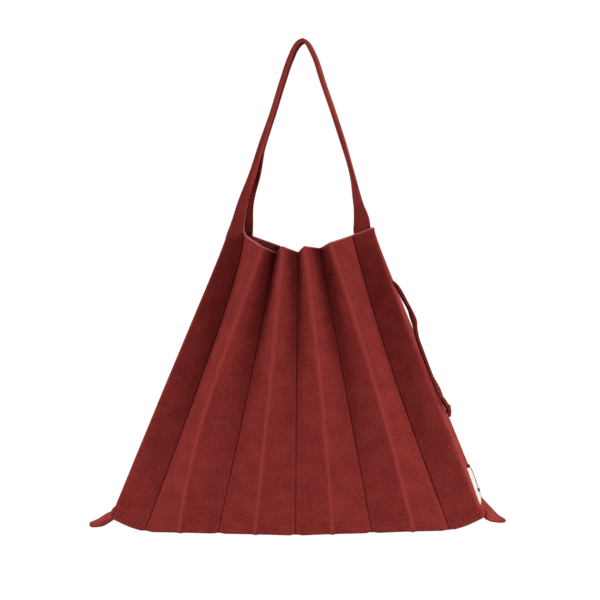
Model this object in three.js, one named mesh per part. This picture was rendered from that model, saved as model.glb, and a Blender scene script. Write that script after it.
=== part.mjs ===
// Pleated knit shoulder bag, hanging from the top of its strap. Millimetres, +Z up, front towards -Y.
// The origin is the underside of the strap's top, where a hook or a hand holds it.
import * as THREE from 'three';
import { LoftGeometry } from 'three/addons/geometries/LoftGeometry.js';

// Driving dimensions
const knit = 2.2; // one layer of wall
const sharpestMitre = 0.35; // least cosine of half a fold's turn
const strapKnit = 2; // one layer of strap
const pieceGap = 0.4; // clear space between neighbouring pieces
const bandHeight = 14; // ribbed band at the foot of the walls
const foldSoftness = 0.14; // share of a panel that rounds into its fold
const foldRounding = 0.3; // how far a fold's tip is pulled back over that share
const wallRows = 10; // rows of facets from the hem to the band
const backTuck = 5; // the back's corners stand this far inside the front's at the mouth
const bellyEdge = 0.64; // squared share of the half width at which the belly adds nothing
const tieDiameter = 4.6;
const tieSides = 8;
const tieStep = 2; // tie diameters in one step of a strand
const knotSides = 12;
const labelSize = { length: 44, width: 16, thickness: 0.8 };
const labelPlace = { share: 0.89, span: 0.05, depth: 0.5, clear: 2.8, flare: 7 }; // on the right side

// Front folds from left to right: where each meets the hem and the bottom edge.
// out is above 0 on a ridge, below in a valley and 0 on a corner fold, as a share of half the pleat's depth.
// A fold may bow sideways, most at bowAt of the height, and backLift raises the back hem over the front one.
const straightFold = { bow: 0, bowAt: 0.5, backLift: 0 };
const frontFolds = [
  { name: 'left corner', out: 0, mouthX: -85.7, hemZ: -222, baseX: -216.6, baseZ: -546, bow: 2.6,
    bowAt: 0.25 },
  { name: 'valley 1', out: -1, mouthX: -67, hemZ: -222, baseX: -177, baseZ: -561, bow: 8, bowAt: 0.28 },
  { name: 'ridge 1', out: 1, mouthX: -39, hemZ: -236, baseX: -135.5, baseZ: -560, bow: -10, bowAt: 0.6,
    backLift: 3 },
  { name: 'valley 2', out: -0.9, mouthX: -26.5, hemZ: -243, baseX: -92, baseZ: -561.5, bow: 1.5,
    backLift: 1 },
  { name: 'ridge 2', out: 0.75, mouthX: -15.5, hemZ: -236, baseX: -48, baseZ: -560.8, bow: 1.5,
    backLift: -4 },
  { name: 'valley 3', out: -0.5, mouthX: 0.5, hemZ: -243, baseX: -2.4, baseZ: -562.3, backLift: -8 },
  { name: 'ridge 3', out: 0.75, mouthX: 9.5, hemZ: -236, baseX: 40.5, baseZ: -559.5, bow: 3, backLift: -8 },
  { name: 'valley 4', out: -0.9, mouthX: 23.5, hemZ: -238, baseX: 84.4, baseZ: -558.8, backLift: -7 },
  { name: 'ridge 4', out: 1, mouthX: 38, hemZ: -232, baseX: 132, baseZ: -555.6, bow: 4, backLift: -5 },
  { name: 'valley 5', out: -1, mouthX: 58.5, hemZ: -223, baseX: 171.5, baseZ: -555.5, bow: -5.6,
    bowAt: 0.45, backLift: -2 },
  { name: 'right corner', out: 0, mouthX: 84, hemZ: -214, baseX: 210, baseZ: -541.5, bow: -3, bowAt: 0.22 },
].map((fold) => ({ ...straightFold, ...fold }));

// Depths at five even levels from the mouth to the base: the middle of a pleated wall and a corner fold
// from the bag's middle plane, a pleat from valley to ridge, a side wall's outward bow, and the belly that
// a pleated wall gains from its corners to its middle.
const levels = [
  { wall: 32, pleat: 30, corner: 26, lean: -3.5, belly: 34 },
  { wall: 38, pleat: 28, corner: 38, lean: -4.4, belly: 30 },
  { wall: 42, pleat: 21, corner: 43, lean: -0.5, belly: 24 },
  { wall: 45, pleat: 16, corner: 44, lean: 2.6, belly: 18 },
  { wall: 48, pleat: 11, corner: 44, lean: 1, belly: 10 },
];

// Rows of the base from the top of its band to the seam under the bag: how much of the wall's depth and
// length is left, the height over the bottom, and the turn of the knit from upright (0) to flat (90).
const baseRows = [
  { name: 'rim', depth: 1, length: 1, height: bandHeight - pieceGap - knit / 2, turn: 0 },
  { name: 'belly', depth: 1, length: 1, height: 4, turn: 6 },
  { name: 'turn', depth: 0.98, length: 0.997, height: 1.1, turn: 50 },
  { name: 'under', depth: 0.91, length: 0.987, height: 0, turn: 88 },
  { name: 'seam', depth: 0, length: 0.987, height: 0.8, turn: 90 },
];

// Ears from the root to the tip: reach out of the side wall, drop, and half the section's depth and height.
const ears = [
  {
    name: 'left_ear', side: -1, rootX: -219.1, rootZ: -541.5,
    rows: [
      { reach: 0, drop: 0, depth: 32, height: 6.2 },
      { reach: 4.8, drop: 4.6, depth: 29, height: 6.9 },
      { reach: 13.8, drop: 10.2, depth: 22, height: 6.6 },
      { reach: 20.8, drop: 12.9, depth: 15, height: 5.3 },
      { reach: 27.8, drop: 14.8, depth: 8, height: 3 },
      { reach: 31.6, drop: 14.9, depth: 3, height: 1.1 },
    ],
  },
  {
    name: 'right_ear', side: 1, rootX: 212.5, rootZ: -537,
    rows: [
      { reach: 0, drop: 0, depth: 31, height: 9.8 },
      { reach: 3.4, drop: 2.9, depth: 26, height: 8.6 },
      { reach: 6.8, drop: 5.5, depth: 21, height: 7 },
      { reach: 11.8, drop: 8.3, depth: 14, height: 4.9 },
      { reach: 16.8, drop: 9.9, depth: 7, height: 3 },
      { reach: 19.6, drop: 10.3, depth: 3, height: 1.3 },
    ],
  },
];
const earSides = 12;
const earCrease = { depth: 0.35, sharpness: 8 };

// Strap sections from the left foot over the top to the right foot. x and z place the web, tilt turns its
// inner side from level (0) to straight down (90), half is half the web, bow its dip towards the inside
// and tuck how far its back edge stands inside the front one.
// Each edge turns in by rise at riseTurn degrees, then runs on as a lip at lipTurn degrees.
const foldedEdge = {
  half: 12, bow: 0.3, tuck: 0, rise: 2.5, riseTurn: 5, front: 8.5, back: 8.5, lipTurn: 88,
};
const foldedStrap = [
  { x: 36.3, z: -80, tilt: 20, ...foldedEdge },
  { x: 24.6, z: -45, tilt: 20, ...foldedEdge },
  { x: 13.4, z: -16, tilt: 21, ...foldedEdge },
  { x: 8.2, z: -4.5, tilt: 26, ...foldedEdge },
  { x: 4.6, z: 1.6, tilt: 52, ...foldedEdge },
];
const strapRows = [
  { x: -85.7, z: -221.6, tilt: 0, half: 26, bow: 6, tuck: 5,
    rise: 8, riseTurn: 27, front: 12.7, back: 11.8, lipTurn: 26 },
  { x: -80, z: -207, tilt: 4, half: 24.5, bow: 5, tuck: 4,
    rise: 6.5, riseTurn: 26, front: 9.5, back: 10, lipTurn: 26 },
  { x: -73.4, z: -185, tilt: 12, half: 20.5, bow: 3.4, tuck: 2.5,
    rise: 4.5, riseTurn: 25, front: 8, back: 9, lipTurn: 30 },
  { x: -60.1, z: -150, tilt: 18, half: 16, bow: 1.6, tuck: 1,
    rise: 3.2, riseTurn: 18, front: 6.5, back: 6.5, lipTurn: 62 },
  { x: -48.9, z: -115, tilt: 19, half: 13, bow: 0.6, tuck: 0,
    rise: 3.4, riseTurn: 8, front: 8, back: 8, lipTurn: 86 },
  ...foldedStrap.map((row) => ({ ...row, x: -row.x })),
  { x: 0, z: 3.5, tilt: 90, ...foldedEdge },
  ...foldedStrap.map((row) => ({ ...row, tilt: 180 - row.tilt })).reverse(),
  { x: 47.6, z: -115, tilt: 162, half: 12.5, bow: 0.6, tuck: 0.4,
    rise: 2.8, riseTurn: 8, front: 8, back: 8, lipTurn: 86 },
  { x: 58.4, z: -150, tilt: 164, half: 14.5, bow: 1.6, tuck: 1.5,
    rise: 2.2, riseTurn: 18, front: 6, back: 6, lipTurn: 75 },
  { x: 69.8, z: -185, tilt: 166, half: 18, bow: 3, tuck: 3,
    rise: 4.5, riseTurn: 22, front: 7, back: 7, lipTurn: 30 },
  { x: 77.6, z: -204, tilt: 168, half: 20, bow: 4.6, tuck: 4,
    rise: 6, riseTurn: 22, front: 13.6, back: 9, lipTurn: 24 },
  { x: 79.2, z: -214, tilt: 171, half: 21, bow: 5.6, tuck: 4.6,
    rise: 7, riseTurn: 22, front: 14.4, back: 9, lipTurn: 22 },
  { x: 88, z: -242, tilt: 176, half: 25, bow: 6, tuck: 4.8,
    rise: 8, riseTurn: 25, front: 9, back: 9, lipTurn: 25 },
];

// Routes of the side tie's long strand and of its short return, from the side wall down to the knot
const tieRoute = [
  { x: 106.6, y: -5, z: -278.5 }, { x: 110, y: -6, z: -282.5 }, { x: 114.4, y: -8, z: -289.5 },
  { x: 119.6, y: -11, z: -299 }, { x: 125.6, y: -15, z: -309.5 }, { x: 130, y: -19, z: -319 },
  { x: 131.2, y: -23, z: -328 }, { x: 133.6, y: -27, z: -339 }, { x: 138.2, y: -31, z: -351 },
  { x: 143.4, y: -35, z: -364 }, { x: 149.3, y: -38, z: -379 }, { x: 154.5, y: -38, z: -392 },
  { x: 159.6, y: -34, z: -403 }, { x: 164.4, y: -28, z: -410.2 },
];
const returnRoute = [
  { x: 151.6, y: -19.6, z: -384 }, { x: 154.6, y: -19.8, z: -390.5 }, { x: 158, y: -20, z: -399.5 },
  { x: 161, y: -20.2, z: -407 }, { x: 163.4, y: -20.6, z: -412 },
];
const tieKnot = {
  x: 167.8, y: -24.4, z: -414.2, lean: 9, wraps: 3, pitch: 3.5, radius: 3.2, groove: 0.7, tail: 3,
};

const knitRed = new THREE.MeshStandardMaterial({ color: 0x7d2a27, roughness: 0.92, metalness: 0 });
const tieRed = new THREE.MeshStandardMaterial({ color: 0x6d2422, roughness: 0.92, metalness: 0 });
const labelCream = new THREE.MeshStandardMaterial({ color: 0xe9e3d6, roughness: 0.8, metalness: 0 });

const bag = new THREE.Group();
const lerp = THREE.MathUtils.lerp;
const radians = THREE.MathUtils.degToRad;

function addPiece(name, geometry, material) {
  const piece = new THREE.Mesh(geometry, material);
  piece.name = name;
  bag.add(piece);
  return piece;
}

// Depths at a share of the height, on smooth curves through the five levels
const depthCurve = new THREE.CatmullRomCurve3(
  levels.map((row) => new THREE.Vector3(row.wall, row.pleat, row.corner)), false, 'catmullrom');
const swellCurve = new THREE.CatmullRomCurve3(
  levels.map((row) => new THREE.Vector3(row.lean, row.belly, 0)), false, 'catmullrom');

function bowAmount(fold, share) {
  const peak = Math.log(0.5) / Math.log(fold.bowAt);
  return fold.bow * Math.sin(Math.PI * share ** peak);
}

const lastFold = frontFolds.length - 1;

// The folds all round the bag: front, right side, back and left side, seen from above anticlockwise
function backFold(fold, index) {
  return {
    ...fold,
    side: 1,
    mouthX: fold.mouthX + lerp(backTuck, -backTuck, index / lastFold),
    hemZ: fold.hemZ + fold.backLift,
  };
}
const leftCorner = frontFolds[0];
const rightCorner = frontFolds[lastFold];
const ringFolds = [
  ...frontFolds.map((fold) => ({ ...fold, side: -1 })),
  { ...rightCorner, name: 'right side', side: 0, mouthX: rightCorner.mouthX - backTuck / 2 },
  ...frontFolds.map(backFold).reverse(),
  { ...leftCorner, name: 'left side', side: 0, mouthX: leftCorner.mouthX + backTuck / 2 },
];
const rightSideFold = frontFolds.length;
const leftSideFold = ringFolds.length - 1;

// A fold's place at a share of its height from the hem (0) to the bottom edge (1)
function foldPoint(fold, share) {
  const depths = depthCurve.getPoint(share);
  const { x: lean, y: belly } = swellCurve.getPoint(share);
  const straight = lerp(fold.mouthX, fold.baseX, share);
  const z = lerp(fold.hemZ, fold.baseZ, share);
  if (fold.side === 0) return new THREE.Vector3(straight + Math.sign(straight) * lean, 0, z);
  const edge = fold.mouthX < 0 ? leftCorner : rightCorner;
  const across = straight / lerp(edge.mouthX, edge.baseX, share);
  const wall = depths.x + belly * (bellyEdge - across ** 2);
  const depth = fold.out === 0 ? depths.z : wall + fold.out * depths.y / 2;
  return new THREE.Vector3(straight + bowAmount(fold, share), fold.side * depth, z);
}

// One level of the ring: each fold gives its rounded tip and a point on the panel either side of it
function ringAt(shareOf) {
  const tips = ringFolds.map((fold) => foldPoint(fold, shareOf(fold)));
  const count = tips.length;
  return tips.flatMap((tip, index) => {
    const before = tip.clone().lerp(tips[(index + count - 1) % count], foldSoftness);
    const after = tip.clone().lerp(tips[(index + 1) % count], foldSoftness);
    const between = before.clone().lerp(after, 0.5);
    return [before, tip.clone().lerp(between, foldRounding), after];
  });
}
const pointsPerFold = 3;

// Outward normals in plan, lengthened at the folds so that the wall keeps its thickness
function planNormals(points, closed) {
  const count = points.length;
  const edgeNormal = (from, to) => {
    const along = new THREE.Vector2(to.x - from.x, to.y - from.y).normalize();
    return new THREE.Vector2(along.y, -along.x);
  };
  return points.map((point, index) => {
    const hasBefore = closed || index > 0;
    const hasAfter = closed || index < count - 1;
    const before = hasBefore && edgeNormal(points[(index + count - 1) % count], point);
    const after = hasAfter && edgeNormal(point, points[(index + 1) % count]);
    if (!before || !after) return before || after;
    const middle = before.clone().add(after).normalize();
    return middle.divideScalar(Math.max(sharpestMitre, middle.dot(after)));
  });
}

const bandShare = (fold) => 1 - bandHeight / (fold.hemZ - fold.baseZ);

// A wall piece between two folds of the ring: one closed section for each level, outer face then inner face
function wallBetween(firstFold, endFold) {
  const first = firstFold * pointsPerFold + 1;
  const end = endFold * pointsPerFold + 1;
  const sections = [];
  for (let row = 0; row <= wallRows; row += 1) {
    const ring = ringAt((fold) => bandShare(fold) * row / wallRows);
    const normals = planNormals(ring, true);
    const total = ring.length;
    const outer = [];
    const inner = [];
    for (let step = first; step <= end; step += 1) {
      const index = step % total;
      const middle = ring[index].clone();
      const inPiece = step === first ? index + 1 : index - 1;
      const atEnd = step === first || step === end;
      const toward = ring[(inPiece + total) % total].clone().sub(middle);
      if (atEnd) middle.add(toward.setLength(pieceGap));
      const offset = new THREE.Vector3(normals[index].x, normals[index].y, 0).multiplyScalar(knit / 2);
      outer.push(middle.clone().add(offset));
      inner.push(middle.clone().sub(offset));
    }
    sections.push([...inner, ...outer.reverse()]);
  }
  return new LoftGeometry(sections, { capStart: true, capEnd: true });
}

addPiece('front_panel', wallBetween(0, lastFold), knitRed);
addPiece('right_side', wallBetween(lastFold, rightSideFold + 1), knitRed);
addPiece('back_panel', wallBetween(rightSideFold + 1, leftSideFold - 1), knitRed);
addPiece('left_side', wallBetween(leftSideFold - 1, leftSideFold + 1), knitRed);

// The base: outer face from the seam up to the rim, then the inner face back down to the seam
function baseGeometry() {
  const rings = baseRows.map((row) => {
    const atBand = row.turn === 0;
    const ring = ringAt((fold) => (atBand ? bandShare(fold) : 1));
    const bottom = ringAt(() => 1);
    const normals = planNormals(ring, true);
    const turn = radians(row.turn);
    const faces = { outer: [], inner: [] };
    ring.forEach((point, index) => {
      const z = bottom[index].z + knit / 2 + row.height;
      const middle = new THREE.Vector3(point.x * row.length, point.y * row.depth, z);
      const level = Math.cos(turn) * knit / 2;
      const normal = new THREE.Vector3(
        normals[index].x * level, normals[index].y * level, -Math.sin(turn) * knit / 2);
      if (row.depth === 0) normal.setX(0).setY(0);
      faces.outer.push(middle.clone().add(normal));
      faces.inner.push(middle.clone().sub(normal));
    });
    return faces;
  });
  const outerUp = rings.map((faces) => faces.outer).reverse();
  const innerDown = rings.map((faces) => faces.inner);
  return new LoftGeometry([...outerUp, ...innerDown]);
}
addPiece('base', baseGeometry(), knitRed);

// Ears: pressed tongues of knit with a soft crease along the top
function earGeometry(ear) {
  const sections = ear.rows.map((row) => {
    const points = [];
    for (let step = 0; step < earSides; step += 1) {
      const angle = ear.side * 2 * Math.PI * step / earSides;
      const crease = 1 - earCrease.depth * Math.max(0, Math.sin(angle)) ** earCrease.sharpness;
      points.push(new THREE.Vector3(
        ear.rootX + ear.side * row.reach,
        row.depth * Math.cos(angle),
        ear.rootZ - row.drop + row.height * Math.sin(angle) * crease));
    }
    return points;
  });
  return new LoftGeometry(sections, { capStart: true, capEnd: true });
}
ears.forEach((ear) => addPiece(ear.name, earGeometry(ear), knitRed));

// Strap: a channel whose edges turn in, wide open at the feet and folded flat over the top
function strapSection(row) {
  const edge = (side, lip) => {
    const corner = new THREE.Vector2(side > 0 ? row.tuck : 0, side * row.half);
    const bend = corner.clone().add(new THREE.Vector2(
      row.rise * Math.cos(radians(row.riseTurn)), -side * row.rise * Math.sin(radians(row.riseTurn))));
    const tip = bend.clone().add(new THREE.Vector2(
      lip * Math.cos(radians(row.lipTurn)), -side * lip * Math.sin(radians(row.lipTurn))));
    return [tip, bend, corner];
  };
  const middle = [...edge(-1, row.front), new THREE.Vector2(row.bow, 0), ...edge(1, row.back).reverse()];
  const normals = planNormals(middle, false);
  const tilt = radians(row.tilt);
  const place = (point, index, side) => {
    const inward = point.x + side * normals[index].x * strapKnit / 2;
    const across = point.y + side * normals[index].y * strapKnit / 2;
    return new THREE.Vector3(row.x + inward * Math.cos(tilt), across, row.z - inward * Math.sin(tilt));
  };
  const outside = middle.map((point, index) => place(point, index, 1));
  const inside = middle.map((point, index) => place(point, index, -1));
  return [...outside, ...inside.reverse()];
}
addPiece('strap', new LoftGeometry(strapRows.map(strapSection), { capStart: true, capEnd: true }), knitRed);

// Side tie: two strands that meet in a wrapped knot
function strandGeometry(route) {
  const section = new THREE.Shape();
  for (let side = 0; side < tieSides; side += 1) {
    const angle = 2 * Math.PI * side / tieSides;
    const corner = [tieDiameter / 2 * Math.cos(angle), tieDiameter / 2 * Math.sin(angle)];
    if (side === 0) section.moveTo(...corner);
    else section.lineTo(...corner);
  }
  section.closePath();
  const path = new THREE.CatmullRomCurve3(route.map((row) => new THREE.Vector3(row.x, row.y, row.z)));
  const steps = Math.round(path.getLength() / (tieStep * tieDiameter));
  return new THREE.ExtrudeGeometry(section, { steps, extrudePath: path, bevelEnabled: false });
}
addPiece('side_tie', strandGeometry(tieRoute), tieRed);
addPiece('tie_return', strandGeometry(returnRoute), tieRed);

function knotGeometry() {
  const profile = [new THREE.Vector2(0, 0)];
  const { pitch, radius, groove } = tieKnot;
  for (let wrap = 0; wrap < tieKnot.wraps; wrap += 1) {
    const middle = -pitch * (wrap + 0.5);
    profile.push(new THREE.Vector2(radius - groove, middle + pitch / 2));
    profile.push(new THREE.Vector2(radius, middle + pitch / 5));
    profile.push(new THREE.Vector2(radius, middle - pitch / 5));
  }
  const foot = -pitch * tieKnot.wraps;
  profile.push(new THREE.Vector2(radius - groove, foot));
  profile.push(new THREE.Vector2(tieDiameter / 2, foot));
  profile.push(new THREE.Vector2(tieDiameter / 2, foot - tieKnot.tail));
  profile.push(new THREE.Vector2(0, foot - tieKnot.tail));
  return new THREE.LatheGeometry(profile.reverse(), knotSides).rotateX(Math.PI / 2);
}
const knot = addPiece('tie_knot', knotGeometry(), tieRed);
knot.rotation.y = radians(-tieKnot.lean);
knot.position.set(tieKnot.x, tieKnot.y, tieKnot.z);

// Label: a small woven tab on the right side wall, sewn along its front edge and standing off at the back
function placeLabel(label) {
  const side = ringFolds[rightSideFold];
  const low = foldPoint(side, labelPlace.share + labelPlace.span);
  const high = foldPoint(side, labelPlace.share - labelPlace.span);
  const corner = foldPoint(ringFolds[lastFold], labelPlace.share);
  const up = high.clone().sub(low).normalize();
  const flare = radians(labelPlace.flare);
  const level = new THREE.Vector3(Math.sin(flare), Math.cos(flare), 0);
  const across = level.sub(up.clone().multiplyScalar(level.dot(up))).normalize();
  const outward = new THREE.Vector3().crossVectors(across, up).normalize();
  const frontEdge = new THREE.Vector3(corner.x, corner.y * labelPlace.depth, corner.z);
  frontEdge.x += knit / 2 + labelPlace.clear;
  label.matrix.makeBasis(across, up, outward);
  label.rotation.setFromRotationMatrix(label.matrix);
  label.position.copy(frontEdge.addScaledVector(across, labelSize.width / 2));
}
const label = addPiece(
  'side_label', new THREE.BoxGeometry(labelSize.width, labelSize.length, labelSize.thickness), labelCream);
placeLabel(label);

export default bag;
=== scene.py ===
# Pleated knit bag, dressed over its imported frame: metres, +Z up, front towards -Y
import math
import bpy
import numpy as np
from mathutils import Matrix, Vector


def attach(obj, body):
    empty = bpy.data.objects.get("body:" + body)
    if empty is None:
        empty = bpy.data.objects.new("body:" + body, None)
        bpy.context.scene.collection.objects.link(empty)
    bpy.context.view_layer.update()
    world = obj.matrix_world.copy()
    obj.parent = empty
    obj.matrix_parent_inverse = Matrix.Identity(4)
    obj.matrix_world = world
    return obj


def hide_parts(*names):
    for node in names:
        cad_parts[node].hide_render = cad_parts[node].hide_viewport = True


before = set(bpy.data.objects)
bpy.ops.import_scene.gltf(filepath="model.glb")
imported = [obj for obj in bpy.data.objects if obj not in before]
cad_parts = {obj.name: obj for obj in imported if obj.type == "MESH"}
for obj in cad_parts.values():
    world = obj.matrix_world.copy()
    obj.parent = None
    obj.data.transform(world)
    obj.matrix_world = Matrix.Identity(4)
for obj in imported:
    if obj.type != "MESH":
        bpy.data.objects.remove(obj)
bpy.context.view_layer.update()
scene = bpy.context.scene
mm = 0.001

# camera

cameraSet = {
    "yaw": 7.5,  # degrees towards the bag's right
    "distance": 3.0,
    "pixel": 0.00115,  # size of a pixel at the bag's axis
    "framePixels": 600,
    "axisPixel": 303.5,  # where the bag's axis stands across the frame
    "middleZ": -0.2957,
}


def placeCamera():
    yaw = math.radians(cameraSet["yaw"])
    right = Vector((math.cos(yaw), math.sin(yaw), 0))
    forward = Vector((-math.sin(yaw), math.cos(yaw), 0))
    half = cameraSet["framePixels"] / 2
    aside = (cameraSet["axisPixel"] - half) * cameraSet["pixel"]
    data = bpy.data.cameras.new("bagCamera")
    data.sensor_fit = "HORIZONTAL"
    data.angle = 2 * math.atan(half * cameraSet["pixel"] / cameraSet["distance"])
    camera = bpy.data.objects.new("bagCamera", data)
    target = Vector((0, 0, cameraSet["middleZ"])) - right * aside
    camera.location = target - forward * cameraSet["distance"]
    camera.rotation_euler = (math.radians(90), 0, yaw)
    scene.collection.objects.link(camera)
    scene.camera = camera


placeCamera()
print("camera placed")

# small tools for curves and meshes


def spacedThrough(rows, knots, at):
    # Catmull-Rom curve through rows that stand at the knots
    rows = np.asarray(rows, float)
    knots = np.asarray(knots, float)
    slopes = np.gradient(rows, knots, axis=0)
    at = np.asarray(at, float)
    index = np.clip(np.searchsorted(knots, at, side="right") - 1, 0, len(knots) - 2)
    step = knots[index + 1] - knots[index]
    spread = (len(at),) + (1,) * (rows.ndim - 1)
    t = ((at - knots[index]) / step).reshape(spread)
    step = step.reshape(spread)
    fromStart = (2 * t**3 - 3 * t**2 + 1) * rows[index] + (t**3 - 2 * t**2 + t) * step * slopes[index]
    toEnd = t**2 * (3 - 2 * t) * rows[index + 1] + (t**3 - t**2) * step * slopes[index + 1]
    return fromStart + toEnd


def smoothThrough(rows, at):
    # the same through evenly spaced rows, at shares from 0 to 1
    last = len(rows) - 1
    return spacedThrough(rows, np.arange(last + 1), np.clip(at, 0, 1) * last)


def unit(vectors):
    length = np.linalg.norm(vectors, axis=-1, keepdims=True)
    return vectors / np.maximum(length, 1e-9)


def roundTurn(sides):
    return 2 * np.pi * np.arange(sides) / sides


def alongRows(points):
    # running length along the last axis but one, starting at 0
    steps = np.linalg.norm(np.diff(points, axis=-2), axis=-1)
    return np.concatenate([np.zeros(steps.shape[:-1] + (1,)), np.cumsum(steps, axis=-1)], axis=-1)


def gridNormals(grid, closed):
    # normals of a grid of points, rows running down and columns running anticlockwise from above
    down = np.gradient(grid, axis=0)
    if closed:
        ahead = unit(np.roll(grid, -1, axis=1) - grid)
        across = ahead + np.roll(ahead, 1, axis=1)
    else:
        ahead = unit(np.diff(grid, axis=1))
        across = np.concatenate([ahead[:, :1], ahead[:, :-1] + ahead[:, 1:], ahead[:, -1:]], axis=1)
    return unit(np.cross(down, across))


def quadGrid(first, rows, columns, flip):
    # corner numbers of a grid's quads, from the number of its first point
    corner = first + np.arange(rows - 1)[:, None] * columns + np.arange(columns - 1)
    quads = np.stack([corner, corner + columns, corner + columns + 1, corner + 1], axis=-1)
    return (quads[..., ::-1] if flip else quads).reshape(-1, 4)


def meshPiece(name, points, quads, uvs, material, sharp=55, fold=None):
    mesh = bpy.data.meshes.new(name)
    mesh.vertices.add(len(points))
    mesh.vertices.foreach_set("co", (np.asarray(points) * mm).astype(np.float32).ravel())
    mesh.loops.add(quads.size)
    mesh.loops.foreach_set("vertex_index", quads.astype(np.int32).ravel())
    mesh.polygons.add(len(quads))
    mesh.polygons.foreach_set("loop_start", np.arange(0, quads.size, 4, dtype=np.int32))
    layer = mesh.uv_layers.new(name="knit")
    layer.uv.foreach_set("vector", uvs.astype(np.float32).ravel())
    mesh.update(calc_edges=True)
    mesh.validate()
    mesh.polygons.foreach_set("use_smooth", np.ones(len(mesh.polygons), dtype=bool))
    mesh.set_sharp_from_angle(angle=math.radians(sharp))
    # the fold attribute holds painted light for the finish: above 0 paints highlight, below 0 paints shade
    if fold is not None:  # 1 on a ridge, -1 in a crease, for the finish
        paintedLight = mesh.attributes.new("fold", "FLOAT", "POINT")
        paintedLight.data.foreach_set("value", np.asarray(fold, np.float32).ravel())
    mesh.materials.append(material)
    piece = bpy.data.objects.new(name, mesh)
    scene.collection.objects.link(piece)
    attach(piece, "root")
    return piece


def clothShell(name, outer, inner, uv, material, fold=None):
    # a closed shell between two grids; uv is (rows, panels, columns in a panel, 2)
    rows, columns = outer.shape[:2]
    count = rows * columns
    perPanel = uv.shape[2] - 1
    column = np.arange(columns - 1)
    low = uv[:, column // perPanel, column % perPanel]
    high = uv[:, column // perPanel, column % perPanel + 1]
    faceUv = np.stack([low[:-1], low[1:], high[1:], high[:-1]], axis=2)
    quads = [quadGrid(0, rows, columns, False), quadGrid(count, rows, columns, True)]
    uvs = [faceUv.reshape(-1, 4, 2), faceUv[:, :, ::-1].reshape(-1, 4, 2)]
    numbers = np.arange(count).reshape(rows, columns)
    edgeUv = np.concatenate([low, high[:, -1:]], axis=1)
    spot = edgeUv.reshape(-1, 2)
    edges = ((numbers[0], True), (numbers[-1], False), (numbers[:, 0], False), (numbers[:, -1], True))
    for line, flip in edges:
        rim = np.stack([line[:-1], line[:-1] + count, line[1:] + count, line[1:]], axis=-1)
        rimUv = np.stack([spot[line[:-1]], spot[line[:-1]], spot[line[1:]], spot[line[1:]]], axis=1)
        quads.append(rim[:, ::-1] if flip else rim)
        uvs.append(rimUv[:, ::-1] if flip else rimUv)
    points = np.concatenate([outer.reshape(-1, 3), inner.reshape(-1, 3)])
    if fold is not None:
        fold = np.concatenate([fold.ravel(), 0 * fold.ravel()])
    return meshPiece(name, points, np.concatenate(quads), np.concatenate(uvs), material, fold=fold)


def declareSheet(middle):
    # measures the knit's longest column laid flat, and keeps nothing
    down = alongRows(middle.transpose(1, 0, 2))[:, -1].max()


acrossTubes = (0.31, 0.9, 0.3)  # a way that no tube here runs along


def roundTube(name, path, radius, sides, material, lift=0.0):
    # a tube along a path with rounded ends; lift adds to the radius by row and side
    path = np.asarray(path, float)
    tangent = unit(np.gradient(path, axis=0))
    side = unit(np.cross(tangent, acrossTubes))
    over = np.cross(side, tangent)
    turn = roundTurn(sides)
    ring = np.cos(turn)[None, :, None] * side[:, None] + np.sin(turn)[None, :, None] * over[:, None]
    size = np.full((len(path), sides), radius, float) + lift
    grid = path[:, None] + ring * size[..., None]
    length = alongRows(path)

    def tip(end, way):
        thick = size[end].mean()
        rings = ((0.5, 0.72 * thick), (0.62, 0.02))  # reach past the end in radii, and the ring's radius
        return np.stack([
            path[end] + way * tangent[end] * thick * reach + ring[end] * wide for reach, wide in rings])

    grid = np.concatenate([tip(0, -1)[::-1], grid, tip(-1, 1)])
    length = np.concatenate([[-1, -0.5], length, [length[-1] + 0.5, length[-1] + 1]])
    rows = len(grid)
    number = np.arange(rows * sides).reshape(rows, sides)
    number = np.concatenate([number, number[:, :1]], axis=1)
    quads = np.stack([number[:-1, :-1], number[:-1, 1:], number[1:, 1:], number[1:, :-1]], axis=-1)
    around = 2 * np.pi * radius * np.arange(sides + 1) / sides
    spot = np.stack(np.broadcast_arrays(around[None], length[:, None]), axis=-1)
    uvs = np.stack([spot[:-1, :-1], spot[:-1, 1:], spot[1:, 1:], spot[1:, :-1]], axis=2)
    return meshPiece(name, grid.reshape(-1, 3), quads.reshape(-1, 4), uvs.reshape(-1, 4, 2), material)


flatSet = {
    "apart": 311.0,  # panels lie side by side, well apart
    "leastAcross": 0.05,
}


def panelUv(grid):
    # flat measure of each panel in a (rows, panels, columns, 3) grid: across and along it, in millimetres
    middle = grid.shape[2] // 2
    centre = grid[:, :, middle]
    axis = unit(np.gradient(centre, axis=0))
    chord = unit(grid[:, :, -1] - grid[:, :, 0])
    skew = np.sum(axis * chord, axis=-1)
    run = alongRows(grid)
    run = run - run[:, :, middle:middle + 1]
    down = alongRows(centre.transpose(1, 0, 2)).T
    apart = flatSet["apart"] * np.arange(grid.shape[1])[None, :, None]
    across = run * np.sqrt(np.maximum(flatSet["leastAcross"], 1 - skew**2))[..., None] + apart
    along = down[..., None] + run * skew[..., None]
    return np.stack([across, along], axis=-1)


# knit finish


def feed(tree, value, socket):
    # a number or colour is set on the socket, and an output is linked to it
    if isinstance(value, (int, float, tuple)):
        socket.default_value = value
    else:
        tree.links.new(value, socket)


def mathNode(tree, operation, *values):
    node = tree.nodes.new("ShaderNodeMath")
    node.operation = operation
    for socket, value in zip(node.inputs, values):
        feed(tree, value, socket)
    return node.outputs[0]


def mixColour(tree, amount, first, second):
    node = tree.nodes.new("ShaderNodeMix")
    node.data_type = "RGBA"
    named = {socket.identifier: socket for socket in node.inputs}
    for label, value in (("Factor_Float", amount), ("A_Color", first), ("B_Color", second)):
        feed(tree, value, named[label])
    return next(socket for socket in node.outputs if socket.identifier == "Result_Color")


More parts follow.
